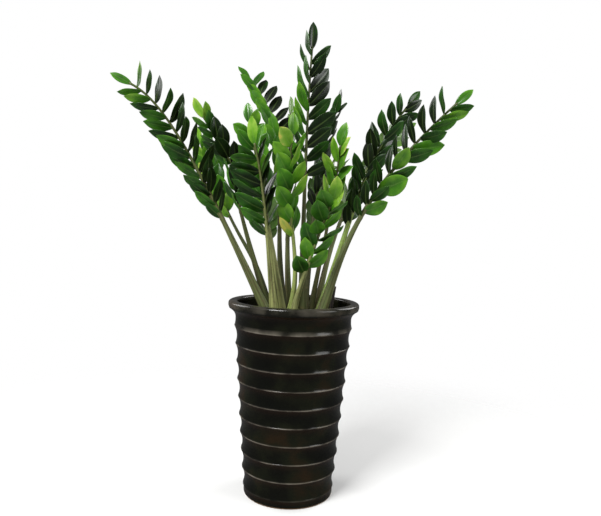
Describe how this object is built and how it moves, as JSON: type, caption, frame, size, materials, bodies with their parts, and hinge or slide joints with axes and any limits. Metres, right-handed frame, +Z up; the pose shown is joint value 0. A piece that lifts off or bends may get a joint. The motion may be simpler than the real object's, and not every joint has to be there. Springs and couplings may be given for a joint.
{
  "type": "potted zz plant",
  "caption": "Tall ribbed round pot with a wide lip, filled with soil, holding a spreading plant of long stalks with double rows of thick glossy leaflets.",
  "frame": {"origin": "centre of the pot's flat underside", "axes": "+Z up along the pot's axis, -Y towards the front, +X to the right seen from the front"},
  "size_m": [0.8648, 0.5062, 1.2117],
  "materials": {
    "glaze": "gloss",
    "soil": "matte",
    "tuber": "matte",
    "stump": "matte",
    "stalk": "satin",
    "leaf": "gloss"
  },
  "bodies": {
    "root": {"pot": "glaze", "soil": "soil", "tuber_1": "tuber", "tuber_2": "tuber", "tuber_3": "tuber", "tuber_4": "tuber", "tuber_5": "tuber", "stalk_01": "stalk", "leaves_01": "leaf", "stalk_02": "stalk", "leaves_02": "leaf", "stalk_03": "stalk", "leaves_03": "leaf", "stalk_04": "stalk", "leaves_04": "leaf", "stalk_05": "stalk", "leaves_05": "leaf", "stalk_06": "stalk", "leaves_06": "leaf", "stalk_07": "stalk", "leaves_07": "leaf", "stalk_08": "stalk", "leaves_08": "leaf", "stalk_09": "stalk", "leaves_09": "leaf", "stalk_10": "stalk", "leaves_10": "leaf", "stalk_11": "stalk", "leaves_11": "leaf", "stalk_12": "stalk", "leaves_12": "leaf", "stalk_13": "stalk", "leaves_13": "leaf", "stalk_14": "stalk", "leaves_14": "leaf", "stalk_15": "stalk", "leaves_15": "leaf", "stalk_16": "stalk", "leaves_16": "leaf", "stalk_17": "stalk", "leaves_17": "leaf", "stump": "stump"}
  },
  "joints": []
}
